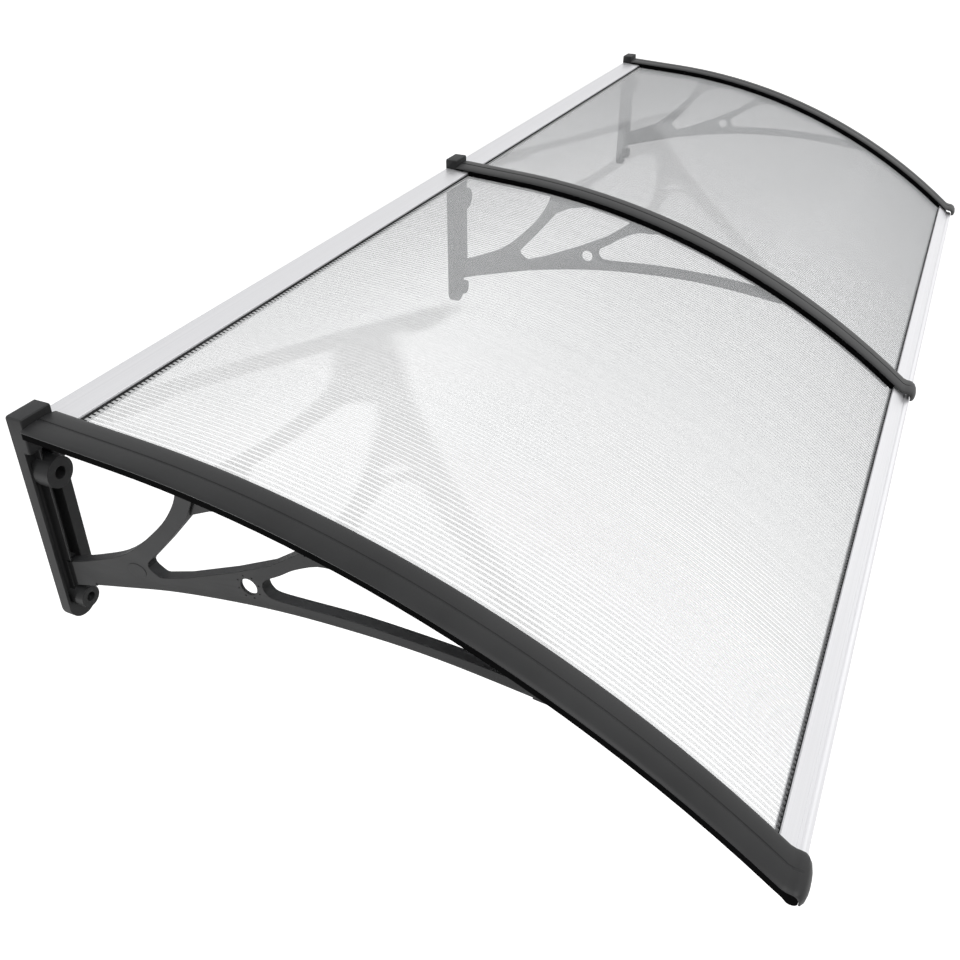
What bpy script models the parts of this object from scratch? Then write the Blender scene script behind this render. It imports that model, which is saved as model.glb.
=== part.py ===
"""Door canopy: three moulded wall brackets carry two curved multiwall roof sheets, held down by
crowned cover strips, with an aluminium profile along the rear and the front edge of each sheet."""

import math

import bmesh
import bpy
from mathutils import Matrix

MM = 0.001

# Overall layout, millimetres. X runs along the wall, the wall face is Y = 0 and the roof reaches
# towards -Y. Outlines are drawn in (reach, height): reach is the distance out from the wall.
BRACKET_SPACING = 900.0
BRACKET_SIDES = {"left": -1, "middle": 0, "right": 1}
GAP = 0.3

# Roof line: the upper side edge of the cover strips. It falls in a straight slope, then bends in one arc.
LINE_HEIGHT_AT_WALL = 9.2
LINE_SLOPE_DEG = 3.55
LINE_STRAIGHT_REACH = 122.0
LINE_ARC_RADIUS = 1131.0

# Layers under the roof line, measured square to it.
SHEET_TOP = -9.0
SHEET_THICKNESS = 4.5
FLANGE_TOP = SHEET_TOP - SHEET_THICKNESS - GAP
FLANGE_THICKNESS = 3.2
PROFILE_TOP = -4.4
PROFILE_WALL = 1.7
PROFILE_LIP = 2.7

# Cover strip
STRIP_START = 18.9
STRIP_HALF_WIDTH = 22.2
STRIP_CROWN = 2.3
STRIP_LIP = 0.9
STRIP_GROOVE_HALF_WIDTH = 1.7
STRIP_GROOVE_DEPTH = 0.8
RIB_HALF_WIDTH = 2.5

# Wall plate of a bracket: a flat base, a raised land right of the groove and a thin wall left of it.
PLATE_HALF_WIDTH = 18.6
PLATE_TOP = 18.5
PLATE_BOTTOM = -226.0
BASE_DEPTH = 11.6
LAND_DEPTH = 18.6
LAND_BOTTOM = -186.0
BLOCK_BOTTOM = -20.0
BLOCK_EDGE = 2.5
BLOCK_HALF_WIDTH = 18.65
GROOVE_HALF_WIDTH = 5.8
GROOVE_BOTTOM = -152.0
GROOVE_FLOOR = 5.5
WALL_LEFT = -7.2
POCKET_FLOOR = 5.0
POCKET_LEFT = -15.5
POCKET_HEIGHTS = (-203.0, -30.0)

# Screw bosses: height, radius at the plate, radius in front, reach of the front, bore radius.
TOP_BOSS = (-45.1, 17.0, 16.0, 29.3, 6.4)
LOW_BOSS = (-199.4, 13.0, 11.5, 24.3, 5.2)
SCREW_HOLE_RADIUS = 3.0

# Arm and flange of a bracket
WEB_HALF_THICKNESS = 6.0
SKIN_THICKNESS = 3.0
CHAMFER_DEPTH, CHAMFER_RISE = 1.6, 4.2
CHAMFER_START, CHAMFER_END = 30.0, 530.0
FLANGE_HALF_WIDTH = 9.5
FLANGE_REAR = 6.0
FLANGE_FRONT = 727.0


# Scene and collections

for old in list(bpy.data.objects):
    bpy.data.objects.remove(old, do_unlink=True)

parts = bpy.data.collections.new("door_canopy")
cutters = bpy.data.collections.new("door_canopy_cutters")
bpy.context.scene.collection.children.link(parts)
bpy.context.scene.collection.children.link(cutters)


# Shared shape helpers

SIDE_VIEW = Matrix(((0, 0, -1, 0), (-1, 0, 0, 0), (0, 1, 0, 0), (0, 0, 0, 1)))


def principled(name, colour, metallic, roughness):
    """One plain Principled material."""
    material = bpy.data.materials.new(name)
    material.use_nodes = True
    shader = material.node_tree.nodes["Principled BSDF"]
    shader.inputs["Base Color"].default_value = (*colour, 1.0)
    shader.inputs["Metallic"].default_value = metallic
    shader.inputs["Roughness"].default_value = roughness
    return material


def roof_slope(reach):
    """Angle in radians by which the roof line falls at a reach."""
    start = math.radians(LINE_SLOPE_DEG)
    if reach <= LINE_STRAIGHT_REACH:
        return start
    return math.asin(math.sin(start) + (reach - LINE_STRAIGHT_REACH) / LINE_ARC_RADIUS)


def roof_point(reach, above=0.0):
    """Point (reach, height) that stands square off the roof line by a distance."""
    slope = roof_slope(reach)
    start = math.radians(LINE_SLOPE_DEG)
    height = LINE_HEIGHT_AT_WALL - min(reach, LINE_STRAIGHT_REACH) * math.tan(start)
    if reach > LINE_STRAIGHT_REACH:
        height -= LINE_ARC_RADIUS * (math.cos(start) - math.cos(slope))
    return reach + above * math.sin(slope), height + above * math.cos(slope)


def roof_run(above, first, last, step=26.0):
    """Points along the roof line at one distance off it; the straight stretch needs only its ends."""
    turn = -1 if last < first else 1
    low, high = sorted((first, last))
    reaches = [low]
    if low < LINE_STRAIGHT_REACH < high:
        reaches.append(LINE_STRAIGHT_REACH)
    begin = max(low, LINE_STRAIGHT_REACH)
    count = max(1, round((high - begin) / step))
    if high > LINE_STRAIGHT_REACH:
        reaches += [begin + (high - begin) * i / count for i in range(1, count + 1)]
    else:
        reaches.append(high)
    return [roof_point(r, above) for r in reaches][::turn]


def smooth(points, steps=5):
    """Even curve through a few points (Catmull-Rom)."""
    first = [2 * a - b for a, b in zip(points[0], points[1])]
    last = [2 * a - b for a, b in zip(points[-1], points[-2])]
    knots = [first, *points, last]
    out = [tuple(points[0])]
    for p0, p1, p2, p3 in zip(knots, knots[1:], knots[2:], knots[3:]):
        for i in range(1, steps + 1):
            t = i / steps
            point = []
            for a, b, c, d in zip(p0, p1, p2, p3):
                bend = (2 * a - 5 * b + 4 * c - d) * t * t + (3 * b - a - 3 * c + d) * t**3
                point.append(0.5 * (2 * b + (c - a) * t + bend))
            out.append(tuple(point))
    return out


def rounded(corners, steps=4):
    """Closed outline from corners (reach, height, radius), each corner turned by an arc."""
    out = []
    for i, (x, y, radius) in enumerate(corners):
        before, after = corners[i - 1], corners[(i + 1) % len(corners)]
        if radius <= 0:
            out.append((x, y))
            continue
        back, ahead = (before[0] - x, before[1] - y), (after[0] - x, after[1] - y)
        lengths = math.hypot(*back), math.hypot(*ahead)
        back = (back[0] / lengths[0], back[1] / lengths[0])
        ahead = (ahead[0] / lengths[1], ahead[1] / lengths[1])
        half = math.acos(max(-1.0, min(1.0, back[0] * ahead[0] + back[1] * ahead[1]))) / 2
        reach = min(radius / math.tan(half), 0.49 * min(lengths))
        radius = reach * math.tan(half)
        middle = (back[0] + ahead[0], back[1] + ahead[1])
        scale = radius / math.sin(half) / math.hypot(*middle)
        centre = (x + middle[0] * scale, y + middle[1] * scale)
        start = math.atan2(y + back[1] * reach - centre[1], x + back[0] * reach - centre[0])
        sweep = math.atan2(y + ahead[1] * reach - centre[1], x + ahead[0] * reach - centre[0]) - start
        sweep = (sweep + math.pi) % (2 * math.pi) - math.pi
        for k in range(steps + 1):
            angle = start + sweep * k / steps
            out.append((centre[0] + radius * math.cos(angle), centre[1] + radius * math.sin(angle)))
    return out


def circle(reach, height, radius, sides=24, squash=1.0):
    """Closed round outline."""
    turns = [2 * math.pi * i / sides for i in range(sides)]
    return [(reach + radius * math.cos(a), height + radius * squash * math.sin(a)) for a in turns]


def plate_solid(name, outlines, x_from, x_to, group=parts):
    """Flat outline in the side view, given its thickness along X; further outlines are openings."""
    curve = bpy.data.curves.new(name, "CURVE")
    curve.dimensions = "2D"
    curve.fill_mode = "BOTH"
    curve.extrude = (x_to - x_from) / 2 * MM
    for outline in outlines:
        spline = curve.splines.new("POLY")
        spline.points.add(len(outline) - 1)
        for point, (reach, height) in zip(spline.points, outline):
            point.co = (reach * MM, height * MM, 0.0, 1.0)
        spline.use_cyclic_u = True
    drawn = bpy.data.objects.new(name, curve)
    bpy.context.scene.collection.objects.link(drawn)
    bpy.context.view_layer.update()
    mesh = bpy.data.meshes.new_from_object(drawn.evaluated_get(bpy.context.evaluated_depsgraph_get()))
    bpy.data.objects.remove(drawn, do_unlink=True)
    mesh.transform(Matrix.Translation(((x_from + x_to) / 2 * MM, 0, 0)) @ SIDE_VIEW)
    return solid(name, mesh, group)


def solid(name, mesh, group=parts):
    """Object from a mesh, welded and with its faces turned outwards."""
    body = bmesh.new()
    body.from_mesh(mesh)
    bmesh.ops.remove_doubles(body, verts=body.verts, dist=0.00001)
    bmesh.ops.recalc_face_normals(body, faces=body.faces)
    if body.calc_volume(signed=True) < 0:
        bmesh.ops.reverse_faces(body, faces=body.faces)
    body.to_mesh(mesh)
    body.free()
    made = bpy.data.objects.new(name, mesh)
    group.objects.link(made)
    if group is cutters:
        made.hide_render = True
        made.display_type = "WIRE"
    return made


def box(name, low, high, group=parts, bevel=0.0):
    """Block between two corners (X, reach, height), its edges bevelled except on the wall face."""
    body = bmesh.new()
    bmesh.ops.create_cube(body, size=1.0)
    size = [(b - a) * MM for a, b in zip(low, high)]
    middle = [(a + b) / 2 * MM for a, b in zip(low, high)]
    bmesh.ops.scale(body, vec=size, verts=body.verts)
    bmesh.ops.translate(body, vec=(middle[0], -middle[1], middle[2]), verts=body.verts)
    if bevel:
        free = [edge for edge in body.edges if any(abs(vert.co.y) > 0.1 * MM for vert in edge.verts)]
        bmesh.ops.bevel(body, geom=free, offset=bevel * MM, segments=3, profile=0.5, affect="EDGES")
    mesh = bpy.data.meshes.new(name)
    body.to_mesh(mesh)
    body.free()
    return solid(name, mesh, group)


def pin(name, height, radius, tip_radius, reach_from, reach_to, group=parts, sides=28):
    """Round pin or hole along Y at X = 0, tapering to the tip radius."""
    body = bmesh.new()
    bmesh.ops.create_cone(
        body,
        cap_ends=True,
        segments=sides,
        radius1=radius * MM,
        radius2=tip_radius * MM,
        depth=(reach_to - reach_from) * MM,
    )
    mesh = bpy.data.meshes.new(name)
    body.to_mesh(mesh)
    body.free()
    middle = (0, -(reach_from + reach_to) / 2 * MM, height * MM)
    mesh.transform(Matrix.Translation(middle) @ Matrix.Rotation(math.pi / 2, 4, "X"))
    return solid(name, mesh, group)


def combine(target, tool, operation):
    """Exact Boolean, applied at once; the tool goes away."""
    step = target.modifiers.new("step", "BOOLEAN")
    step.operation = operation
    step.solver = "EXACT"
    step.object = tool
    bpy.context.view_layer.update()
    done = bpy.data.meshes.new_from_object(target.evaluated_get(bpy.context.evaluated_depsgraph_get()))
    target.modifiers.remove(step)
    target.data = done
    bpy.data.objects.remove(tool, do_unlink=True)


def loft(name, rings, group=parts):
    """Closed solid through rings of equal point count, each ring a list of (X, reach, height)."""
    body = bmesh.new()
    loops = []
    for ring in rings:
        loops.append([body.verts.new((x * MM, -reach * MM, height * MM)) for x, reach, height in ring])
    count = len(rings[0])
    for near, far in zip(loops, loops[1:]):
        for i in range(count):
            j = (i + 1) % count
            body.faces.new((near[i], near[j], far[j], far[i]))
    body.faces.new(loops[0])
    body.faces.new(loops[-1])
    mesh = bpy.data.meshes.new(name)
    body.to_mesh(mesh)
    body.free()
    return solid(name, mesh, group)


def finish(made, material, smooth_angle=None):
    """Give a piece its material; curved pieces are shaded smooth up to an angle."""
    made.data.materials.clear()
    made.data.materials.append(material)
    if smooth_angle:
        made.data.shade_smooth()
        made.data.set_sharp_from_angle(angle=math.radians(smooth_angle))


# Wall brackets: dark moulded plastic, each one moulding with plate, arms and curved flange

bracket_plastic = principled("bracket_plastic", (0.035, 0.036, 0.038), 0.0, 0.55)

# Outlines of the arm, its two struts and the openings between them, in (reach, height)
arm_under = [(2, -186), (76, -165.7), (155, -145.6), (253, -129.3), (340, -122.6), (430, -122.3), (548, -133)]
arm_inner = [(2, -158), (51, -139.5), (97, -116), (144, -72), (166, -42), (176, -18)]
window_rear = [
    (134, -134, 8),
    (118, -124, 6),
    (151, -87, 0),
    (181, -51, 0),
    (*roof_point(196, FLANGE_TOP - 3), 4),
    (*roof_point(280, FLANGE_TOP - 3), 0),
    (*roof_point(314, FLANGE_TOP - 3), 4),
    (267, -75, 0),
    (223, -97.5, 0),
    (166, -123, 0),
]
window_front_top = [(261, -92.5), (277, -82.5), (293, -71), (318, -59), (340, -57)]
window_front_low = [
    (527, -122.5),
    (496, -115),
    (439, -110.5),
    (355, -109),
    (298, -112),
    (267, -113.3),
    (258.5, -109.5),
    (255.5, -103),
    (256.8, -97),
]
gusset_low = [(172, -52), (186, -46.5), (206, -37), (233, -31)]
gusset_reaches = (240, 190)

# Reaches between which the arm and the front window run along the flange
ARM_ALONG_FLANGE = (556, 178)
WINDOW_ALONG_FLANGE = (362, 520)
SUNK_IN_FLANGE = 1.5
GUSSET_HALF_THICKNESS = 2.0

# Round hole with its ring of dots, rows of pinholes at the heads of the struts
HOLE_REACH, HOLE_HEIGHT, HOLE_RADIUS = 240.0, -107.8, 9.0
DOT_RING_RADIUS, DOT_RADIUS, DOT_COUNT, DOT_SIDES, DOT_DEPTH = 12.3, 0.8, 8, 8, 1.0
gusset_dots = [(190, -31.5), (198, -31), (206, -30.2), (213, -29.6)]
strut_dots = [(306, -51), (314, -52.6), (322, -54)]

# The arm is cored from its right face: three shallow recesses, with the corner radius
core_recesses = (
    [
        (24, -174, 3),
        (27, -154, 3),
        (58, -143, 3),
        (100, -121, 3),
        (112, -124, 3),
        (126, -140, 3),
        (118, -149.5, 3),
    ],
    [
        (152, -140.5, 3),
        (162, -130.5, 3),
        (200, -114.5, 3),
        (236, -95, 3),
        (246, -92.5, 3),
        (251, -98, 3),
        (251, -108, 3),
        (258, -119, 3),
        (250, -125, 3),
        (226, -129.2, 3),
        (190, -135.5, 3),
    ],
    [(278, -117, 2), (355, -112.5, 2), (439, -114, 2), (484, -118, 2), (440, -118.6, 2), (355, -118.5, 2)],
)

# Plain oval pad left by the mould on the left face of the arm
PAD_REACH, PAD_HEIGHT, PAD_RADIUS, PAD_SQUASH, PAD_RISE = 106, -133.5, 11, 0.72, 0.4


def edge_chamfer(path):
    """Cutter along the left lower edge of the arm, a slanted prism that follows the path."""
    depth, above = CHAMFER_DEPTH, CHAMFER_RISE
    section = ((-1, -1), (-1, above * (1 + 1 / depth)), (depth * (1 + 1 / above), -1))
    rings = []
    for i, (reach, height) in enumerate(path):
        before, after = path[max(i - 1, 0)], path[min(i + 1, len(path) - 1)]
        length = math.dist(before, after)
        rise = (-(after[1] - before[1]) / length, (after[0] - before[0]) / length)
        ring = []
        for inwards, up in section:
            ring.append((inwards - WEB_HALF_THICKNESS, reach + rise[0] * up, height + rise[1] * up))
        rings.append(ring)
    return loft("chamfer", rings, cutters)


def bracket_web():
    """Arm and two struts under the roof, with two openings, a round hole, recesses and pinholes."""
    half = WEB_HALF_THICKNESS
    under = smooth(arm_under, 6)
    outer = under + roof_run(FLANGE_TOP - SUNK_IN_FLANGE, *ARM_ALONG_FLANGE)[:-1]
    outer += smooth(arm_inner, 5)[::-1]
    front = smooth(window_front_top, 3) + roof_run(FLANGE_TOP - 2 * SUNK_IN_FLANGE, *WINDOW_ALONG_FLANGE)
    front += smooth(window_front_low, 3)
    hole = circle(HOLE_REACH, HOLE_HEIGHT, HOLE_RADIUS, 28)
    web = plate_solid("web", [outer, rounded(window_rear, 3), front, hole], -half, half)
    for corners in core_recesses:
        recess = plate_solid("recess", [rounded(corners, 3)], SKIN_THICKNESS - half, half + 2, cutters)
        combine(web, recess, "DIFFERENCE")
    path = [point for point in under if CHAMFER_START < point[0] < CHAMFER_END]
    begin = [(a + b) / 2 for a, b in zip(path[0], path[1])]
    end = [(a + b) / 2 for a, b in zip(path[-2], path[-1])]
    combine(web, edge_chamfer([begin, *path[1:-1], end]), "DIFFERENCE")
    # thin gusset behind the first strut, with a row of pinholes
    gusset = gusset_low + [roof_point(reach, FLANGE_TOP - SUNK_IN_FLANGE) for reach in gusset_reaches]
    holes = [circle(*dot, DOT_RADIUS, DOT_SIDES) for dot in gusset_dots]
    thin = GUSSET_HALF_THICKNESS
    combine(web, plate_solid("gusset", [gusset, *holes], -thin, thin), "UNION")
    # pinholes at the head of the second strut, then the ring of dots round the hole on the left face
    through = half + 2
    dots = [circle(*dot, DOT_RADIUS, DOT_SIDES) for dot in strut_dots]
    combine(web, plate_solid("pinholes", dots, -through, through, cutters), "DIFFERENCE")
    ring = []
    for i in range(DOT_COUNT):
        turn = 2 * math.pi * (i + 0.5) / DOT_COUNT
        reach = HOLE_REACH + DOT_RING_RADIUS * math.cos(turn)
        ring.append(circle(reach, HOLE_HEIGHT + DOT_RING_RADIUS * math.sin(turn), DOT_RADIUS, DOT_SIDES))
    combine(web, plate_solid("dots", ring, -through, DOT_DEPTH - half, cutters), "DIFFERENCE")
    pad = circle(PAD_REACH, PAD_HEIGHT, PAD_RADIUS, 28, PAD_SQUASH)
    combine(web, plate_solid("pad", [pad], -half - PAD_RISE, 1 - half), "UNION")
    return web


def wall_plate():
    """Plate against the wall with its round foot, land, groove, pocket, thin wall and top block."""
    half = PLATE_HALF_WIDTH
    foot = PLATE_BOTTOM + half
    top = BLOCK_BOTTOM + 4
    groove = GROOVE_HALF_WIDTH
    body = box("plate", (-half, 0, foot), (half, BASE_DEPTH, top))
    combine(body, pin("foot", foot, half, half, 0, BASE_DEPTH, sides=48), "UNION")
    pocket_low, pocket_high = POCKET_HEIGHTS
    pocket = box(
        "pocket",
        (POCKET_LEFT, POCKET_FLOOR, pocket_low),
        (WALL_LEFT + 0.3, LAND_DEPTH, pocket_high),
        cutters,
        BLOCK_EDGE,
    )
    combine(body, pocket, "DIFFERENCE")
    combine(body, box("land", (groove, 1, LAND_BOTTOM), (half - 0.01, LAND_DEPTH, top)), "UNION")
    wall = box("wall", (WALL_LEFT, 1, GROOVE_BOTTOM + 2), (1 - groove, LAND_DEPTH - 0.02, top))
    combine(body, wall, "UNION")
    low, high = (-groove, GROOVE_FLOOR, GROOVE_BOTTOM), (groove, LAND_DEPTH + 5, BLOCK_BOTTOM - 2)
    combine(body, box("groove", low, high, cutters), "DIFFERENCE")
    wide = BLOCK_HALF_WIDTH
    block = box("block", (-wide, 0, BLOCK_BOTTOM), (wide, LAND_DEPTH, PLATE_TOP), bevel=BLOCK_EDGE)
    combine(body, block, "UNION")
    return body


def bracket(name):
    """One whole bracket about X = 0."""
    body = wall_plate()
    # curved flange that the sheets rest on
    low = FLANGE_TOP - FLANGE_THICKNESS
    flange = roof_run(FLANGE_TOP, FLANGE_REAR, FLANGE_FRONT) + roof_run(low, FLANGE_FRONT, FLANGE_REAR)
    combine(body, plate_solid("flange", [flange], -FLANGE_HALF_WIDTH, FLANGE_HALF_WIDTH), "UNION")
    combine(body, bracket_web(), "UNION")
    # screw bosses with countersunk holes right through
    for height, root, tip, front, _ in (TOP_BOSS, LOW_BOSS):
        combine(body, pin("boss", height, root, tip, 3, front), "UNION")
    for height, _, _, front, bore in (TOP_BOSS, LOW_BOSS):
        combine(body, pin("bore", height, bore, bore, 8, front + 3, cutters), "DIFFERENCE")
        screw = SCREW_HOLE_RADIUS
        combine(body, pin("hole", height, screw, screw, -3, 12, cutters, 16), "DIFFERENCE")
    body.name = name
    body.data.name = name
    finish(body, bracket_plastic)
    return body


middle_bracket = bracket("bracket_middle")
for side in ("left", "right"):
    mesh = middle_bracket.data.copy()
    mesh.name = f"bracket_{side}"
    mesh.transform(Matrix.Translation((BRACKET_SIDES[side] * BRACKET_SPACING * MM, 0, 0)))
    parts.objects.link(bpy.data.objects.new(f"bracket_{side}", mesh))


# Cover strips: crowned moulded covers with a centre groove, hooked down over the front profile

strip_plastic = principled("strip_plastic", (0.075, 0.077, 0.08), 0.0, 0.45)


def strip_section(crown, depth, lip, rib):
    """Points (across, above the roof line) round the strip, starting at its left edge."""
    half_width = STRIP_HALF_WIDTH
    groove = STRIP_GROOVE_HALF_WIDTH
    left = [
        (-half_width, -0.3),
        (-half_width + 1.2, 0.5),
        (-half_width * 0.8, crown * 0.55),
        (-half_width * 0.5, crown * 0.88),
        (-groove - 2.6, crown),
        (-groove, crown - 0.1 * depth),
        (-groove + 0.6, crown - depth),
    ]
    over = left + [(-a, b) for a, b in left[::-1]]
    under = [
        (half_width, -lip),
        (RIB_HALF_WIDTH, -lip),
        (RIB_HALF_WIDTH - 0.3, -rib),
        (-RIB_HALF_WIDTH + 0.3, -rib),
        (-RIB_HALF_WIDTH, -lip),
        (-half_width, -lip),
    ]
    return over + under


STRIP_STATIONS = 24
NOSE_START = 738.0
# Stations of the nose, at the strip's side edges: reach, height, angle of the surface, crown, depth of
# the groove, thickness
NOSE_STATIONS = (
    (742.8, -229.9, 26.0, 2.3, 0.8, 1.3),
    (747.0, -230.2, 18.0, 2.4, 0.4, 1.5),
    (750.6, -230.9, 32.0, 2.8, 0.0, 1.8),
    (753.2, -232.9, 56.0, 3.4, 0.0, 2.0),
    (754.8, -236.2, 78.0, 4.0, 0.0, 2.0),
    (755.2, -239.4, 92.0, 4.4, 0.0, 1.8),
    (754.8, -241.6, 100.0, 4.4, 0.0, 1.6),
)


def cover_strip(name, x):
    """Strip as a loft of one section along the roof line, then round the nose."""
    rings = []
    bend = NOSE_START - LINE_STRAIGHT_REACH
    reaches = [STRIP_START]
    reaches += [LINE_STRAIGHT_REACH + bend * i / STRIP_STATIONS for i in range(STRIP_STATIONS + 1)]
    for reach in reaches:
        deep = -FLANGE_TOP - GAP if reach < FLANGE_FRONT - 8 else STRIP_LIP + 0.6
        section = strip_section(STRIP_CROWN, STRIP_GROOVE_DEPTH, STRIP_LIP, deep)
        rings.append([(x + across, *roof_point(reach, above)) for across, above in section])
    # the rear end is cut upright, close to the block
    rings[0] = [(across, STRIP_START, height) for across, _, height in rings[0]]
    for reach, height, angle, crown, depth, thickness in NOSE_STATIONS:
        turn = math.radians(angle)
        ring = []
        for across, above in strip_section(crown, depth, thickness, thickness + 0.2):
            ring.append((x + across, reach + above * math.sin(turn), height + above * math.cos(turn)))
        rings.append(ring)
    finish(loft(name, rings), strip_plastic, 35)


for side, place in BRACKET_SIDES.items():
    cover_strip(f"cover_strip_{side}", place * BRACKET_SPACING)


# Edge seals: black rubber under both sides of each cover strip. The two outermost ones run on past
# the sheet and end in a round lobe, which closes the end of the front profile under the nose.

seal_rubber = principled("seal_rubber", (0.008, 0.008, 0.008), 0.0, 0.8)
SEAL_INNER, SEAL_OUTER = 17.5, 21.9
FREE_SEAL_FOOT = SHEET_TOP + 1.2
PROFILE_REAR_START = 0.6
PROFILE_REAR_LENGTH = 38.1
PROFILE_FRONT_START = 731.2
LOBE = [
    (742.6, -231.9),
    (746.6, -232.2),
    (750.0, -233.3),
    (752.4, -236.4),
    (753.0, -240.0),
    (751.4, -243.2),
    (747.8, -244.3),
    (744.3, -243.3),
    (740.4, -239.2),
]


def edge_seal(name, x, side, first, last, lobe):
    """Rectangular rubber seal that follows the roof between cover strip and sheet."""
    top = -STRIP_LIP - GAP
    foot = FREE_SEAL_FOOT if lobe else SHEET_TOP + GAP
    outline = roof_run(top, first, last)
    if lobe:
        outline += smooth(LOBE, 2)
    outline += roof_run(foot, last, first)
    edges = sorted((x + side * SEAL_INNER, x + side * SEAL_OUTER))
    finish(plate_solid(name, [outline], *edges), seal_rubber)


for side, place in BRACKET_SIDES.items():
    for hand, sign in (("a", -1), ("b", 1)):
        free = place == sign
        begin = STRIP_START + 0.6 if free else PROFILE_REAR_START + PROFILE_REAR_LENGTH + 2.8
        stop = NOSE_START - 2 if free else PROFILE_FRONT_START - 1.5
        edge_seal(f"edge_seal_{side}_{hand}", place * BRACKET_SPACING, sign, begin, stop, free)


# Roof sheets: translucent multiwall polycarbonate, one curved sheet between each pair of brackets

sheet_plastic = principled("sheet_plastic", (0.80, 0.81, 0.82), 0.0, 0.25)
SHEET_EDGE = 4.0
SHEET_REAR, SHEET_FRONT = 24.0, 738.0
PANELS = {"left": (-BRACKET_SPACING, 0.0), "right": (0.0, BRACKET_SPACING)}

for side, (start, end) in PANELS.items():
    low = SHEET_TOP - SHEET_THICKNESS
    outline = roof_run(SHEET_TOP, SHEET_REAR, SHEET_FRONT) + roof_run(low, SHEET_FRONT, SHEET_REAR)
    sheet = plate_solid(f"roof_sheet_{side}", [outline], start + SHEET_EDGE, end - SHEET_EDGE)
    finish(sheet, sheet_plastic, 20)


# Edge profiles: light aluminium extrusions over the rear and the front edge of each sheet

profile_metal = principled("profile_metal", (0.80, 0.80, 0.81), 1.0, 0.35)


def placed(points, reach, height, angle_deg):
    """Section points (along the roof, above the roof line) set down at a point on the roof."""
    turn = math.radians(angle_deg)
    out = []
    for along, above in points:
        out.append(
            (
                reach + along * math.cos(turn) + above * math.sin(turn),
                height - along * math.sin(turn) + above * math.cos(turn),
            )
        )
    return out


def profile(name, outline, x_from, x_to):
    """Straight extrusion of a section along the wall."""
    finish(plate_solid(name, [outline], x_from, x_to), profile_metal, 30)


def gasket(name, corners, place, x_from, x_to):
    """Black rubber lip that seals a profile on the sheet."""
    finish(plate_solid(name, [placed(corners, *place)], x_from, x_to), seal_rubber)


# Heights inside both profiles: under the thick upper lip, under the sheet
UNDER_LIP = PROFILE_TOP - PROFILE_LIP
UNDER_SHEET = SHEET_TOP - SHEET_THICKNESS - GAP
REAR_WEB = 21.5
FRONT_WEB = 14.0
FRONT_FLAT = 17.0
BEAD_ALONG, BEAD_ABOVE, BEAD_RADIUS = 27.0, -8.2, 5.6


def rear_section():
    """Rear profile: closed at the wall, open towards the sheet."""
    corners = [
        (0.0, PROFILE_TOP, 1.2),
        (PROFILE_REAR_LENGTH, PROFILE_TOP, 0.8),
        (PROFILE_REAR_LENGTH, UNDER_LIP, 0.0),
        (REAR_WEB, UNDER_LIP, 0.0),
        (REAR_WEB, UNDER_SHEET, 0.0),
        (PROFILE_REAR_LENGTH, UNDER_SHEET, 0.0),
        (PROFILE_REAR_LENGTH, UNDER_SHEET - PROFILE_WALL, 0.6),
        (0.0, UNDER_SHEET - PROFILE_WALL, 1.0),
    ]
    return placed(rounded(corners, 3), *rear_place)


def front_section():
    """Front profile: open towards the sheet, with a shallow groove and a round bead in front."""
    turns = [math.radians(150 - 15 * i) for i in range(20)]
    bead = [(BEAD_ALONG + BEAD_RADIUS * math.cos(a), BEAD_ABOVE + BEAD_RADIUS * math.sin(a)) for a in turns]
    outline = [
        (0.0, PROFILE_TOP - 0.4),
        (0.6, PROFILE_TOP),
        (FRONT_FLAT, PROFILE_TOP),
        (FRONT_FLAT + 1.6, PROFILE_TOP - 1.0),
        *bead,
        (FRONT_FLAT + 3, UNDER_SHEET - PROFILE_WALL),
        (0.0, UNDER_SHEET - PROFILE_WALL),
        (0.0, UNDER_SHEET),
        (FRONT_WEB, UNDER_SHEET),
        (FRONT_WEB, UNDER_LIP),
        (0.0, UNDER_LIP),
    ]
    return placed(outline, *front_place)


rear_place = (*roof_point(PROFILE_REAR_START), LINE_SLOPE_DEG)
front_place = (*roof_point(PROFILE_FRONT_START), math.degrees(roof_slope(PROFILE_FRONT_START + FRONT_WEB)))
lip_top, lip_foot = UNDER_LIP - GAP, SHEET_TOP + GAP
rear_edge = PROFILE_REAR_LENGTH
rear_lip = [(rear_edge - 5, lip_top), (rear_edge + 0.4, lip_top)]
rear_lip += [(rear_edge + 1.3, lip_foot), (rear_edge - 5, lip_foot)]
front_lip = [(-1.4, lip_foot), (-0.5, lip_top), (5.0, lip_top), (5.0, lip_foot)]
for side, (start, end) in PANELS.items():
    margin = PLATE_HALF_WIDTH + GAP
    gasket(f"rear_gasket_{side}", rear_lip, rear_place, start + margin, end - margin)
    gasket(f"front_gasket_{side}", front_lip, front_place, start + SHEET_EDGE, end - SHEET_EDGE)
    profile(f"rear_profile_{side}", rear_section(), start + margin, end - margin)
    profile(f"front_profile_{side}", front_section(), start + SHEET_EDGE, end - SHEET_EDGE)
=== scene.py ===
import math

import bmesh
import bpy
from mathutils import Matrix, Vector


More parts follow.
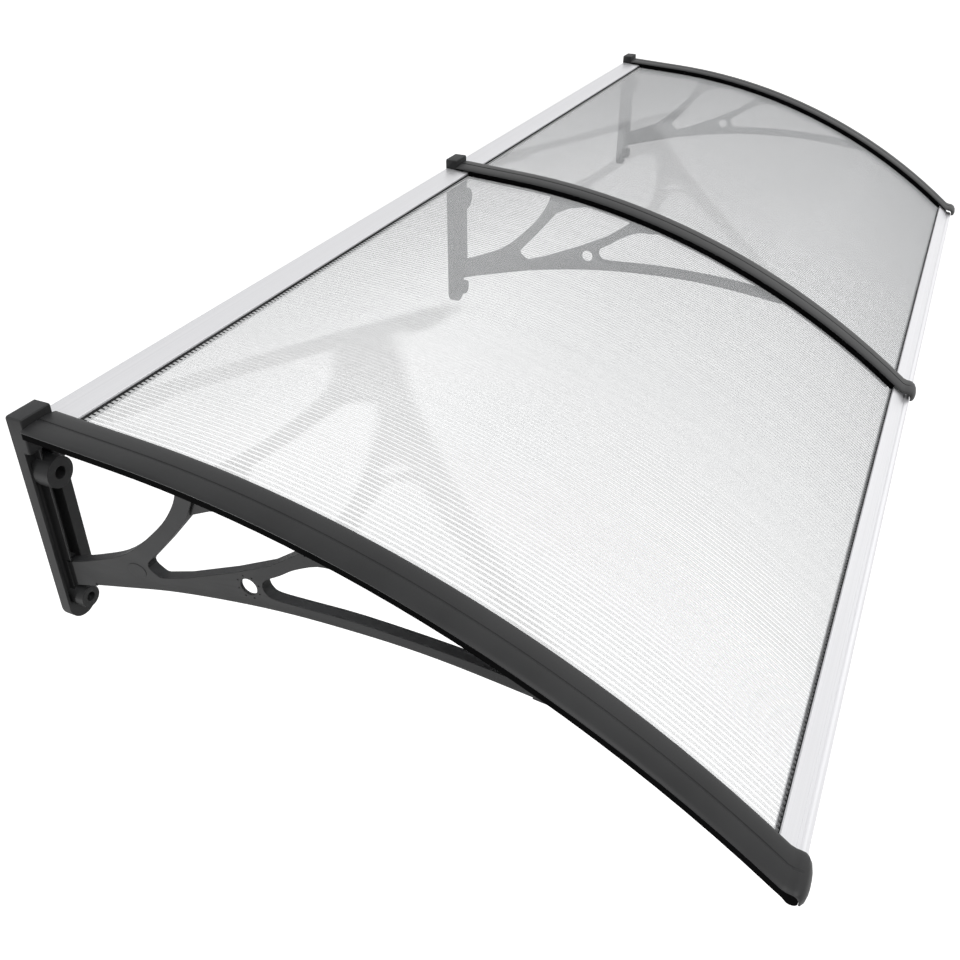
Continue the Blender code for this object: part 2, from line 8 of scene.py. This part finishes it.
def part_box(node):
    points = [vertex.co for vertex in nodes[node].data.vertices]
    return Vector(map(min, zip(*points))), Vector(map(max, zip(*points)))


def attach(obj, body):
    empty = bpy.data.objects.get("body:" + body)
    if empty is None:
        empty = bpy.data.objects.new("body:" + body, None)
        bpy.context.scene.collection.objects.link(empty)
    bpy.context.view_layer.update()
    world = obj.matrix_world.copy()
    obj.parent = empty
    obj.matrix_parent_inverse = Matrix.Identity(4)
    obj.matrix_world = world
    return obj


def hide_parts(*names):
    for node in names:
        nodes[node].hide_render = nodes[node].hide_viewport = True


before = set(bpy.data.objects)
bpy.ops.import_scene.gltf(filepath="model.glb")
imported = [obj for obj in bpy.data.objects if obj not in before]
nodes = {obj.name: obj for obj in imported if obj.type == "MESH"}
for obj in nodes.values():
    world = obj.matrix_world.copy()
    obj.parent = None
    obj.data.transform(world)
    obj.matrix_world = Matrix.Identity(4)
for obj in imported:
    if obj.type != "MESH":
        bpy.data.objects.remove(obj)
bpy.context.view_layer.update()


# Wall brackets: three moulded brackets of dark glass-filled nylon, each one piece from its wall
# plate to the tip of its curved flange. The mould leaves a fine satin grain on every face.

bracket_grey = (0.012, 0.0122, 0.0126)


def new_material(name):
    """Node material with nothing set yet, its tree and its main shader."""
    material = bpy.data.materials.new(name)
    material.use_nodes = True
    tree = material.node_tree
    return material, tree, tree.nodes["Principled BSDF"]


def moulded_plastic(name, colour, roughness, edge_round, specular, painted_top_gain):
    """Satin moulded plastic: fine grain, faint flow clouds and worn edges.

    Painted light makes what faces up lighter, and painted shade makes what faces down darker.
    """
    material, tree, shader = new_material(name)
    add, join = tree.nodes.new, tree.links.new
    place = add("ShaderNodeTexCoord")
    grain = add("ShaderNodeTexNoise")
    grain.inputs["Scale"].default_value = 1400.0
    grain.inputs["Detail"].default_value = 3.0
    join(place.outputs["Object"], grain.inputs["Vector"])
    clouds = add("ShaderNodeTexNoise")
    clouds.inputs["Scale"].default_value = 22.0
    clouds.inputs["Detail"].default_value = 5.0
    join(place.outputs["Object"], clouds.inputs["Vector"])
    tone = add("ShaderNodeValToRGB")
    tone.color_ramp.elements[0].position = 0.30
    tone.color_ramp.elements[0].color = (*[0.84 * c for c in colour], 1)
    tone.color_ramp.elements[1].position = 0.72
    tone.color_ramp.elements[1].color = (*[1.14 * c for c in colour], 1)
    join(clouds.outputs["Fac"], tone.inputs["Fac"])
    worn = add("ShaderNodeMix")
    worn.data_type = "RGBA"
    worn.inputs["B"].default_value = (*[min(1.0, 2.1 * c) for c in colour], 1)
    edge = add("ShaderNodeNewGeometry")
    rub = add("ShaderNodeMapRange")
    rub.inputs["From Min"].default_value = 0.54
    rub.inputs["From Max"].default_value = 0.66
    rub.inputs["To Max"].default_value = 0.45
    join(edge.outputs["Pointiness"], rub.inputs["Value"])
    join(rub.outputs["Result"], worn.inputs["Factor"])
    join(tone.outputs["Color"], worn.inputs["A"])
    facing = add("ShaderNodeSeparateXYZ")
    join(edge.outputs["Normal"], facing.inputs["Vector"])
    # Painted light from above: faces that turn up get a lighter colour.
    painted_top_light = add("ShaderNodeMapRange")
    painted_top_light.inputs["From Min"].default_value = 0.35
    painted_top_light.inputs["From Max"].default_value = 1.0
    painted_top_light.inputs["To Min"].default_value = 1.0
    painted_top_light.inputs["To Max"].default_value = painted_top_gain
    join(facing.outputs["Z"], painted_top_light.inputs["Value"])
    # Painted shade: faces that turn down get a much darker colour.
    painted_under_shade = add("ShaderNodeMapRange")
    painted_under_shade.inputs["From Min"].default_value = -0.34
    painted_under_shade.inputs["From Max"].default_value = -0.06
    painted_under_shade.inputs["To Min"].default_value = 0.08
    painted_under_shade.inputs["To Max"].default_value = 1.0
    join(facing.outputs["Z"], painted_under_shade.inputs["Value"])
    painted_light_factor = add("ShaderNodeMath")
    painted_light_factor.operation = "MULTIPLY"
    join(painted_top_light.outputs["Result"], painted_light_factor.inputs[0])
    join(painted_under_shade.outputs["Result"], painted_light_factor.inputs[1])
    painted_light_colour = add("ShaderNodeVectorMath")
    painted_light_colour.operation = "SCALE"
    join(worn.outputs["Result"], painted_light_colour.inputs["Vector"])
    join(painted_light_factor.outputs["Value"], painted_light_colour.inputs["Scale"])
    join(painted_light_colour.outputs["Vector"], shader.inputs["Base Color"])
    shader.inputs["Specular IOR Level"].default_value = specular
    shine = add("ShaderNodeMapRange")
    shine.inputs["To Min"].default_value = roughness - 0.06
    shine.inputs["To Max"].default_value = roughness + 0.08
    join(clouds.outputs["Fac"], shine.inputs["Value"])
    join(shine.outputs["Result"], shader.inputs["Roughness"])
    soft = add("ShaderNodeBevel")
    soft.samples = 4
    soft.inputs["Radius"].default_value = edge_round
    bump = add("ShaderNodeBump")
    bump.inputs["Strength"].default_value = 0.12
    bump.inputs["Distance"].default_value = 0.0004
    join(grain.outputs["Fac"], bump.inputs["Height"])
    join(soft.outputs["Normal"], bump.inputs["Normal"])
    join(bump.outputs["Normal"], shader.inputs["Normal"])
    return material


def dress(name, material, angle):
    """Puts a material on a CAD node, welded and shaded smooth up to an angle."""
    node = nodes[name]
    node.data.materials.clear()
    node.data.materials.append(material)
    weld = node.modifiers.new("weld", "WELD")
    weld.merge_threshold = 0.00002
    for face in node.data.polygons:
        face.use_smooth = True
    split = node.modifiers.new("split", "EDGE_SPLIT")
    split.split_angle = math.radians(angle)


# The brackets' faces that turn up are painted up to four times lighter, a painted light from above.
bracket_plastic = moulded_plastic(
    "bracket plastic", bracket_grey, roughness=0.62, edge_round=0.0010, specular=0.22, painted_top_gain=4.0
)
for side in ("left", "middle", "right"):
    dress(f"bracket_{side}", bracket_plastic, angle=25)


# Roof sheets: two panels of twin-wall polycarbonate, extruded with thin ribs between two skins and
# bent cold over the brackets. The ribs run from the wall to the front edge, and a pale tape closes
# their open ends inside the edge profiles.

# The roof line runs straight out from the wall, then bends down on an arc.
line_at_wall = 0.0092
line_slope = math.radians(3.55)
line_straight = 0.122
line_radius = 1.131

# Heights are square off the roof line, and the places of ends are distances out from the wall.
sheet_top = -0.0090
sheet_thickness = 0.0045
skin_thickness = 0.00045
rib_thickness = 0.0004
rib_pitch = 0.0061
sheet_rear = 0.024
sheet_front = 0.738
sheet_step = 0.026
tape_thickness = 0.0001
tape_rear_end = 0.0452
tape_front_end = 0.7309


def roof_slope(reach):
    """How steeply the roof line falls at a distance out from the wall."""
    if reach <= line_straight:
        return line_slope
    return math.asin(math.sin(line_slope) + (reach - line_straight) / line_radius)


def roof_point(reach, above):
    """Point in the Y, Z plane that stands square off the roof line."""
    slope = roof_slope(reach)
    height = line_at_wall - min(reach, line_straight) * math.tan(line_slope)
    if reach > line_straight:
        height -= line_radius * (math.cos(line_slope) - math.cos(slope))
    return -(reach + above * math.sin(slope)), height + above * math.cos(slope)


def roof_stations(first, last, step):
    """Distances along the roof at which a bent piece gets a row of points."""
    count = math.ceil((last - max(first, line_straight)) / step)
    begin = max(first, line_straight)
    bend = [begin + (last - begin) * i / count for i in range(count + 1)]
    return ([first] if first < line_straight else []) + bend


def bent_bar(body, x_from, x_to, low, high, stations):
    """Adds a closed bar that follows the roof line, between two X places and two heights."""
    rows = []
    for reach in stations:
        row = []
        for x, above in ((x_from, low), (x_to, low), (x_to, high), (x_from, high)):
            y, z = roof_point(reach, above)
            row.append(body.verts.new((x, y, z)))
        rows.append(row)
    for near, far in zip(rows, rows[1:]):
        for i in range(4):
            j = (i + 1) % 4
            body.faces.new((near[i], near[j], far[j], far[i]))
    body.faces.new(rows[0][::-1])
    body.faces.new(rows[-1])


def clear_plastic(name, colour, alpha, roughness):
    """Milky see-through plastic with faint streaks along the extrusion, less clear on the slant."""
    material, tree, shader = new_material(name)
    add, join = tree.nodes.new, tree.links.new
    place = add("ShaderNodeTexCoord")
    stretch = add("ShaderNodeMapping")
    stretch.inputs["Scale"].default_value = (90.0, 2.0, 2.0)
    join(place.outputs["Object"], stretch.inputs["Vector"])
    streak = add("ShaderNodeTexNoise")
    streak.inputs["Scale"].default_value = 1.0
    streak.inputs["Detail"].default_value = 4.0
    join(stretch.outputs["Vector"], streak.inputs["Vector"])
    tone = add("ShaderNodeValToRGB")
    tone.color_ramp.elements[0].color = (*[0.93 * c for c in colour], 1)
    tone.color_ramp.elements[1].color = (*colour, 1)
    join(streak.outputs["Fac"], tone.inputs["Fac"])
    join(tone.outputs["Color"], shader.inputs["Base Color"])
    see = add("ShaderNodeMapRange")
    see.inputs["To Min"].default_value = alpha * 0.85
    see.inputs["To Max"].default_value = alpha * 1.15
    join(streak.outputs["Fac"], see.inputs["Value"])
    slant = add("ShaderNodeLayerWeight")
    slant.inputs["Blend"].default_value = 0.5
    gloss = add("ShaderNodeMath")
    gloss.operation = "POWER"
    gloss.inputs[1].default_value = 6.0
    join(slant.outputs["Facing"], gloss.inputs[0])
    veil = add("ShaderNodeMath")
    veil.operation = "ADD"
    veil.use_clamp = True
    join(see.outputs["Result"], veil.inputs[0])
    join(gloss.outputs["Value"], veil.inputs[1])
    join(veil.outputs["Value"], shader.inputs["Alpha"])
    shader.inputs["Roughness"].default_value = roughness
    bump = add("ShaderNodeBump")
    bump.inputs["Strength"].default_value = 0.05
    bump.inputs["Distance"].default_value = 0.0003
    join(streak.outputs["Fac"], bump.inputs["Height"])
    join(bump.outputs["Normal"], shader.inputs["Normal"])
    return material


sheet_skin = clear_plastic("sheet skin", (0.66, 0.67, 0.68), alpha=0.05, roughness=0.22)
sheet_rib = clear_plastic("sheet rib", (0.58, 0.59, 0.60), alpha=0.24, roughness=0.35)
end_tape = clear_plastic("end tape", (0.80, 0.81, 0.81), alpha=1.0, roughness=0.5)


def shown_piece(name, body, materials, replaced):
    """Makes a piece from finished mesh data, in place, riding on the part's one body."""
    mesh = bpy.data.meshes.new(name)
    body.to_mesh(mesh)
    body.free()
    for material in materials:
        mesh.materials.append(material)
    piece = bpy.data.objects.new(name, mesh)
    bpy.context.scene.collection.objects.link(piece)
    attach(piece, "root")
    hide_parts(*replaced)


for side in ("left", "right"):
    low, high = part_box(f"roof_sheet_{side}")
    stations = roof_stations(sheet_rear, sheet_front, sheet_step)
    panel = bmesh.new()
    rib_top = sheet_top - skin_thickness
    sheet_bottom = sheet_top - sheet_thickness
    rib_foot = sheet_bottom + skin_thickness
    bent_bar(panel, low.x, high.x, rib_top, sheet_top, stations)
    bent_bar(panel, low.x, high.x, sheet_bottom, rib_foot, stations)
    count = round((high.x - low.x) / rib_pitch)
    first_rib = len(panel.faces)
    for i in range(count + 1):
        x = low.x + (high.x - low.x - rib_thickness) * i / count
        bent_bar(panel, x, x + rib_thickness, rib_foot, rib_top, stations)
    first_tape = len(panel.faces)
    for ends in ((sheet_rear, tape_rear_end), (tape_front_end, sheet_front)):
        bent_bar(panel, low.x, high.x, sheet_top, sheet_top + tape_thickness, ends)
    panel.faces.ensure_lookup_table()
    for face in panel.faces[first_rib:first_tape]:
        face.material_index = 1
    for face in panel.faces[first_tape:]:
        face.material_index = 2
    layers = (sheet_skin, sheet_rib, end_tape)
    shown_piece(f"twin_wall_sheet_{side}", panel, layers, (f"roof_sheet_{side}",))


# Edge profiles: satin anodised aluminium extrusions pushed over the rear and the front edge of each
# sheet. The die leaves long fine lines along them.

profile_silver = (0.84, 0.84, 0.86)


def drawn_aluminium(name, colour, roughness):
    """Satin anodised aluminium with die lines along its length."""
    material, tree, shader = new_material(name)
    add, join = tree.nodes.new, tree.links.new
    place = add("ShaderNodeTexCoord")
    stretch = add("ShaderNodeMapping")
    stretch.inputs["Scale"].default_value = (1.2, 900.0, 900.0)
    join(place.outputs["Object"], stretch.inputs["Vector"])
    lines = add("ShaderNodeTexNoise")
    lines.inputs["Scale"].default_value = 1.0
    lines.inputs["Detail"].default_value = 4.0
    join(stretch.outputs["Vector"], lines.inputs["Vector"])
    handling = add("ShaderNodeTexNoise")
    handling.inputs["Scale"].default_value = 9.0
    handling.inputs["Detail"].default_value = 6.0
    join(place.outputs["Object"], handling.inputs["Vector"])
    tone = add("ShaderNodeValToRGB")
    tone.color_ramp.elements[0].position = 0.3
    tone.color_ramp.elements[0].color = (*[0.93 * c for c in colour], 1)
    tone.color_ramp.elements[1].position = 0.7
    tone.color_ramp.elements[1].color = (*colour, 1)
    join(lines.outputs["Fac"], tone.inputs["Fac"])
    join(tone.outputs["Color"], shader.inputs["Base Color"])
    shader.inputs["Metallic"].default_value = 0.55
    dull = add("ShaderNodeMapRange")
    dull.inputs["To Min"].default_value = roughness - 0.05
    dull.inputs["To Max"].default_value = roughness + 0.12
    join(handling.outputs["Fac"], dull.inputs["Value"])
    join(dull.outputs["Result"], shader.inputs["Roughness"])
    bump = add("ShaderNodeBump")
    bump.inputs["Strength"].default_value = 0.08
    bump.inputs["Distance"].default_value = 0.0002
    join(lines.outputs["Fac"], bump.inputs["Height"])
    join(bump.outputs["Normal"], shader.inputs["Normal"])
    return material


profile_metal = drawn_aluminium("profile aluminium", profile_silver, roughness=0.38)
for place in ("rear", "front"):
    for side in ("left", "right"):
        dress(f"{place}_profile_{side}", profile_metal, angle=25)


# Rubber seals: black extruded rubber, matt, with a faint bloom. A square cord runs under both edges
# of every cover strip, and a lip sits in the mouth of each profile. The lips have small teeth that
# press on the sheet, one for each of its ribs.

seal_black = (0.0015, 0.0015, 0.0016)


def rubber(name, colour):
    """Matt extruded rubber with fine pores and a faint grey bloom."""
    material, tree, shader = new_material(name)
    add, join = tree.nodes.new, tree.links.new
    place = add("ShaderNodeTexCoord")
    bloom = add("ShaderNodeTexNoise")
    bloom.inputs["Scale"].default_value = 35.0
    bloom.inputs["Detail"].default_value = 5.0
    join(place.outputs["Object"], bloom.inputs["Vector"])
    tone = add("ShaderNodeValToRGB")
    tone.color_ramp.elements[0].position = 0.35
    tone.color_ramp.elements[0].color = (*colour, 1)
    tone.color_ramp.elements[1].position = 0.85
    tone.color_ramp.elements[1].color = (*[2.2 * c for c in colour], 1)
    join(bloom.outputs["Fac"], tone.inputs["Fac"])
    join(tone.outputs["Color"], shader.inputs["Base Color"])
    shader.inputs["Roughness"].default_value = 0.85
    shader.inputs["Specular IOR Level"].default_value = 0.02
    pores = add("ShaderNodeTexNoise")
    pores.inputs["Scale"].default_value = 2200.0
    join(place.outputs["Object"], pores.inputs["Vector"])
    bump = add("ShaderNodeBump")
    bump.inputs["Strength"].default_value = 0.2
    bump.inputs["Distance"].default_value = 0.0003
    join(pores.outputs["Fac"], bump.inputs["Height"])
    join(bump.outputs["Normal"], shader.inputs["Normal"])
    return material


seal_rubber = rubber("seal rubber", seal_black)
for name in sorted(nodes):
    if "seal" in name:
        dress(name, seal_rubber, angle=25)

lip_depth = 0.0050
lip_foot = sheet_top + 0.0003
lip_top = sheet_top + 0.0016
tooth_pitch = rib_pitch
tooth_width = 0.0017
tooth_thickness = 0.00022
lip_rubber = rubber("lip rubber", (0.030, 0.030, 0.031))


def toothed_lip(place, side, mouth, turn, tooth_length):
    """Rubber lip in a profile's mouth: a bar, and teeth that run out over the sheet.

    The mouth is how far from the wall the bar ends. The turn is 1 where the teeth point to the
    front of the canopy and -1 where they point to the wall.
    """
    gasket = f"{place}_gasket_{side}"
    low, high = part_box(gasket)
    lip = bmesh.new()

    def block(x_from, x_to, start, end, below, above):
        corners = []
        for x in (x_from, x_to):
            for reach, lift in ((start, below), (end, below), (end, above), (start, above)):
                y, z = roof_point(reach, lift)
                corners.append(lip.verts.new((x, y, z)))
        for i in range(4):
            j = (i + 1) % 4
            lip.faces.new((corners[i], corners[j], corners[j + 4], corners[i + 4]))
        lip.faces.new(corners[:4][::-1])
        lip.faces.new(corners[4:])

    block(low.x, high.x, mouth - turn * lip_depth, mouth, lip_foot, lip_top)
    tooth_tip = mouth + turn * tooth_length
    count = math.floor((high.x - low.x - tooth_width) / tooth_pitch)
    for i in range(count + 1):
        x = low.x + i * tooth_pitch
        block(x, x + tooth_width, mouth, tooth_tip, lip_foot, lip_foot + tooth_thickness)
    bmesh.ops.recalc_face_normals(lip, faces=lip.faces)
    shown_piece(f"{place}_lip_{side}", lip, (lip_rubber,), (gasket,))


for side in ("left", "right"):
    toothed_lip("rear", side, mouth=0.0402, turn=1, tooth_length=0.0041)
    toothed_lip("front", side, mouth=0.7309, turn=-1, tooth_length=0.0008)


# Cover strips: crowned caps of the same dark plastic as the brackets, a little lighter, with one
# shallow groove down the middle. They press the sheets down and hook over the front profile.

strip_grey = (0.0165, 0.0167, 0.0172)

# The strips' faces that turn up are painted lighter, a painted light from above.
strip_plastic = moulded_plastic(
    "strip plastic", strip_grey, roughness=0.42, edge_round=0.0004, specular=0.26, painted_top_gain=1.7
)
for side in ("left", "middle", "right"):
    dress(f"cover_strip_{side}", strip_plastic, angle=27)


# Studio: a plain pale floor a door's height below the canopy, white to the camera, and soft light.
# A small low lamp behind the left end throws the shadows of the brackets on the sheets from below.

floor_level = -2.1
floor_size = 60.0

ground = bmesh.new()
bmesh.ops.create_grid(ground, x_segments=1, y_segments=1, size=floor_size / 2)
floor_mesh = bpy.data.meshes.new("floor")
ground.to_mesh(floor_mesh)
ground.free()
floor = bpy.data.objects.new("floor", floor_mesh)
floor.location = (0, 0, floor_level)
bpy.context.scene.collection.objects.link(floor)


def rays_to_whiten(tree):
    """1 for rays from the camera, through clear plastic or off a gloss, which meet white."""
    rays = tree.nodes.new("ShaderNodeLightPath")
    found = rays.outputs["Is Camera Ray"]
    for kind in ("Is Transmission Ray", "Is Glossy Ray"):
        either = tree.nodes.new("ShaderNodeMath")
        either.operation = "MAXIMUM"
        tree.links.new(found, either.inputs[0])
        tree.links.new(rays.outputs[kind], either.inputs[1])
        found = either.outputs["Value"]
    return found


paper, tree, shader = new_material("floor paper")
shader.inputs["Base Color"].default_value = (0.80, 0.80, 0.80, 1)
shader.inputs["Roughness"].default_value = 0.9
white = tree.nodes.new("ShaderNodeEmission")
white.inputs["Strength"].default_value = 0.75
blank = tree.nodes.new("ShaderNodeEmission")
blank.inputs["Strength"].default_value = 0.0
pick = tree.nodes.new("ShaderNodeMixShader")
tree.links.new(rays_to_whiten(tree), pick.inputs["Fac"])
tree.links.new(blank.outputs["Emission"], pick.inputs[1])
tree.links.new(white.outputs["Emission"], pick.inputs[2])
both = tree.nodes.new("ShaderNodeAddShader")
tree.links.new(shader.outputs["BSDF"], both.inputs[0])
tree.links.new(pick.outputs["Shader"], both.inputs[1])
tree.links.new(both.outputs["Shader"], tree.nodes["Material Output"].inputs["Surface"])
floor_mesh.materials.append(paper)

sky = bpy.data.worlds.new("studio")
bpy.context.scene.world = sky
sky.use_nodes = True
air = sky.node_tree
background = air.nodes["Background"]
background.inputs["Color"].default_value = (1, 1, 1, 1)
level = air.nodes.new("ShaderNodeMapRange")
level.inputs["To Min"].default_value = 0.45
level.inputs["To Max"].default_value = 1.0
air.links.new(rays_to_whiten(air), level.inputs["Value"])
air.links.new(level.outputs["Result"], background.inputs["Strength"])


def softbox(name, place, target, size, watts):
    """Square lamp aimed at a point."""
    lamp = bpy.data.lights.new(name, "AREA")
    lamp.shape = "SQUARE"
    lamp.size = size
    lamp.energy = watts
    holder = bpy.data.objects.new(name, lamp)
    holder.location = place
    aim = Vector(target) - Vector(place)
    holder.rotation_euler = aim.to_track_quat("-Z", "Y").to_euler()
    bpy.context.scene.collection.objects.link(holder)


middle = (0.0, -0.35, -0.1)
left_bracket = (-0.9, -0.1, -0.12)
softbox("key", (-1.6, -2.6, 2.6), middle, size=2.2, watts=55.0)
softbox("fill", (2.4, -1.8, 1.6), middle, size=2.4, watts=12.0)
softbox("low side lamp", (-3.32, 1.19, -1.33), left_bracket, size=0.07, watts=55.0)


# Camera: the photograph's viewing place, above and in front of the left end of the canopy. Its
# place, angles and lens are the ones that fit the photograph.

camera_place = (-1.45904, -0.72707, 0.47516)
camera_azimuth = math.radians(-65.117)
camera_elevation = math.radians(33.469)
camera_roll = math.radians(-0.044)
camera_lens = 37.766

lens = bpy.data.cameras.new("photo camera")
lens.lens = camera_lens
lens.sensor_width = 36.0
lens.clip_start = 0.01
camera = bpy.data.objects.new("photo camera", lens)
back = Vector(
    (
        math.sin(camera_azimuth) * math.cos(camera_elevation),
        -math.cos(camera_azimuth) * math.cos(camera_elevation),
        math.sin(camera_elevation),
    )
)
across = Vector((0, 0, 1)).cross(back).normalized()
facing = Matrix((across, back.cross(across), back)).transposed().to_4x4()
roll = Matrix.Rotation(camera_roll, 4, "Z")
camera.matrix_world = Matrix.Translation(camera_place) @ facing @ roll
bpy.context.scene.collection.objects.link(camera)
bpy.context.scene.camera = camera
bpy.context.scene.view_settings.view_transform = "Standard"
